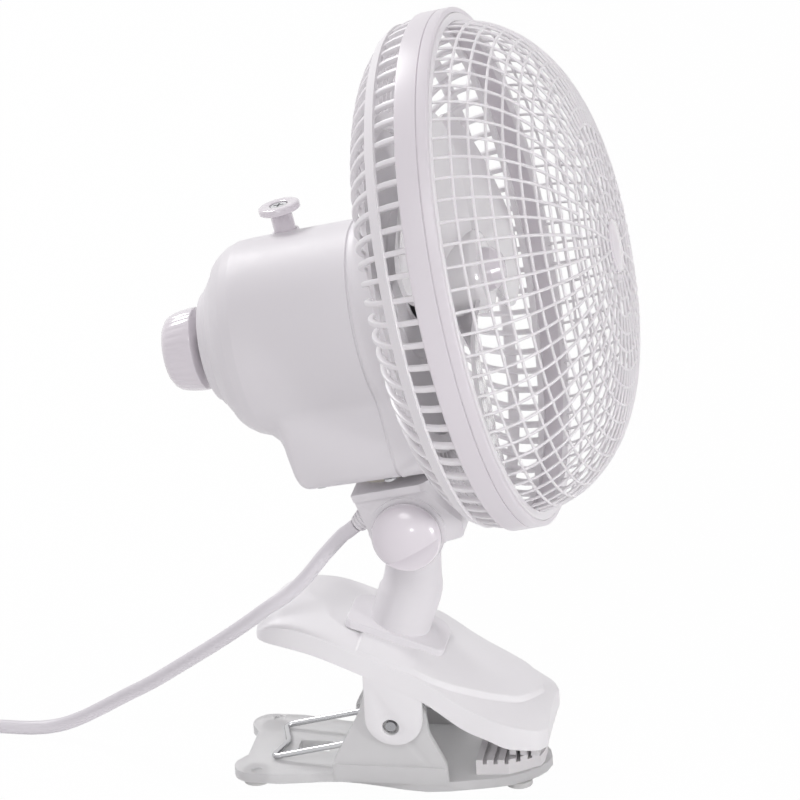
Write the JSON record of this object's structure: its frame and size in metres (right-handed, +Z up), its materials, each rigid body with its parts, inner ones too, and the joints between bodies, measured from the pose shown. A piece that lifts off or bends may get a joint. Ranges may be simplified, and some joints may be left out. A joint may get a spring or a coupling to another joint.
{
  "type": "oscillating clip fan",
  "caption": "Small electric fan in a round wire guard on a tilting, swinging head, held on a sprung clip with rubber grips and a mains cord.",
  "frame": {"origin": "middle of the fan's outline, on the surface under the rubber feet", "axes": "+X the way the fan blows, +Z up"},
  "size_m": [0.3422, 0.186, 0.2912],
  "materials": {
    "white_plastic": "satin moulded",
    "grip_rubber": "matt",
    "foot_rubber": "matt",
    "chrome_wire": "polished",
    "steel": "machined",
    "laminations": "varnished",
    "coil_wire": "taped winding",
    "bronze": "sintered",
    "nylon": "natural nylon",
    "cord_sheath": "smooth PVC",
    "dark_plastic": "moulded",
    "tie_band": "ribbed strap"
  },
  "bodies": {
    "stand": {"upper_jaw": "white_plastic", "upper_grip_pad": "grip_rubber", "neck": "white_plastic", "neck_screw": "steel", "power_cord": "cord_sheath", "cord_coil": "cord_sheath", "cord_tie": "tie_band", "plug_body": "white_plastic", "plug_pins": "steel"},
    "lower_jaw": {"lower_jaw": "white_plastic", "lower_grip_pad": "grip_rubber", "rubber_feet": "foot_rubber", "pivot_pin": "chrome_wire", "torsion_spring": "chrome_wire"},
    "bracket": {"swivel_bracket": "white_plastic", "tilt_nut": "steel", "cord_gland": "white_plastic", "pivot_post": "steel", "thrust_washer": "nylon", "swing_lever": "steel", "lever_screw": "steel"},
    "tilt_knob": {"tilt_knob": "white_plastic", "tilt_bolt": "steel"},
    "head": {"rear_housing": "white_plastic", "front_housing": "white_plastic", "housing_screws": "steel", "rear_guard": "white_plastic", "guard_ring": "white_plastic", "front_guard": "white_plastic", "guard_badge": "white_plastic", "stator_core": "laminations", "field_coil": "coil_wire", "motor_front_bracket": "steel", "motor_rear_bracket": "steel", "bearing_bushes": "bronze", "motor_screws": "steel", "gear_bracket": "steel", "gear_plate": "steel", "crank_axle": "steel", "switch_body": "dark_plastic"},
    "rotor": {"motor_shaft": "steel", "rotor_core": "laminations", "worm": "steel", "fan_blade": "white_plastic", "blade_cap": "white_plastic"},
    "worm_wheel": {"worm_wheel": "nylon"},
    "oscillation_knob": {"oscillation_knob": "white_plastic", "knob_screw": "steel", "clutch_shaft": "steel"},
    "pinion": {"clutch_pinion": "nylon"},
    "crank": {"crank_gear": "nylon"},
    "speed_knob": {"speed_knob": "white_plastic", "switch_shaft": "steel"}
  },
  "joints": [
    {"name": "clip_open", "type": "hinge", "parent": "stand", "child": "lower_jaw", "pos_m": [-0.0045, 0, 0.0295], "axis": [0, 1, 0], "range_deg": [0, 30], "stiffness_Nm_per_rad": 1, "springref_deg": -45.84, "deforming": ["torsion_spring"]},
    {"name": "head_tilt", "type": "hinge", "parent": "stand", "child": "bracket", "pos_m": [0.0035, 0, 0.104], "axis": [0, -1, 0], "range_deg": [-40, 30], "deforming": ["power_cord"]},
    {"name": "tilt_knob_turn", "type": "hinge", "parent": "bracket", "child": "tilt_knob", "pos_m": [0.0035, 0, 0.104], "axis": [0, -1, 0], "range_deg": [0, 180]},
    {"name": "head_swing", "type": "hinge", "parent": "bracket", "child": "head", "pos_m": [-0.00237, 0, 0.10275], "axis": [-0.2079, 0, 0.9781], "range_deg": [-35, 35]},
    {"name": "blade_spin", "type": "hinge", "parent": "head", "child": "rotor", "pos_m": [0.03823, 0, 0.20033], "axis": [0.9781, 0, 0.2079], "continuous": true},
    {"name": "wheel_turn", "type": "hinge", "parent": "head", "child": "worm_wheel", "pos_m": [-0.03728, 0.012, 0.18427], "axis": [-0.2079, 0, 0.9781], "continuous": true},
    {"name": "crank_turn", "type": "hinge", "parent": "head", "child": "crank", "pos_m": [-0.01999, -0.00166, 0.13274], "axis": [-0.2079, 0, 0.9781], "range_deg": [-90, 90]},
    {"name": "pinion_turn", "type": "hinge", "parent": "head", "child": "pinion", "pos_m": [-0.02605, 0.012, 0.13145], "axis": [-0.2079, 0, 0.9781], "range_deg": [-360, 360]},
    {"name": "oscillation_push", "type": "slide", "parent": "head", "child": "oscillation_knob", "axis": [-0.2079, 0, 0.9781], "range_m": [-0.005, 0]},
    {"name": "speed_turn", "type": "hinge", "parent": "head", "child": "speed_knob", "pos_m": [-0.07211, 0, 0.16634], "axis": [0.9781, 0, 0.2079], "range_deg": [0, 120]}
  ],
  "couplings": [
    {"joint": "wheel_turn", "follows": "blade_spin", "ratio": -0.027778},
    {"joint": "crank_turn", "follows": "head_swing", "ratio": -2.45},
    {"joint": "pinion_turn", "follows": "head_swing", "ratio": 9.8}
  ]
}
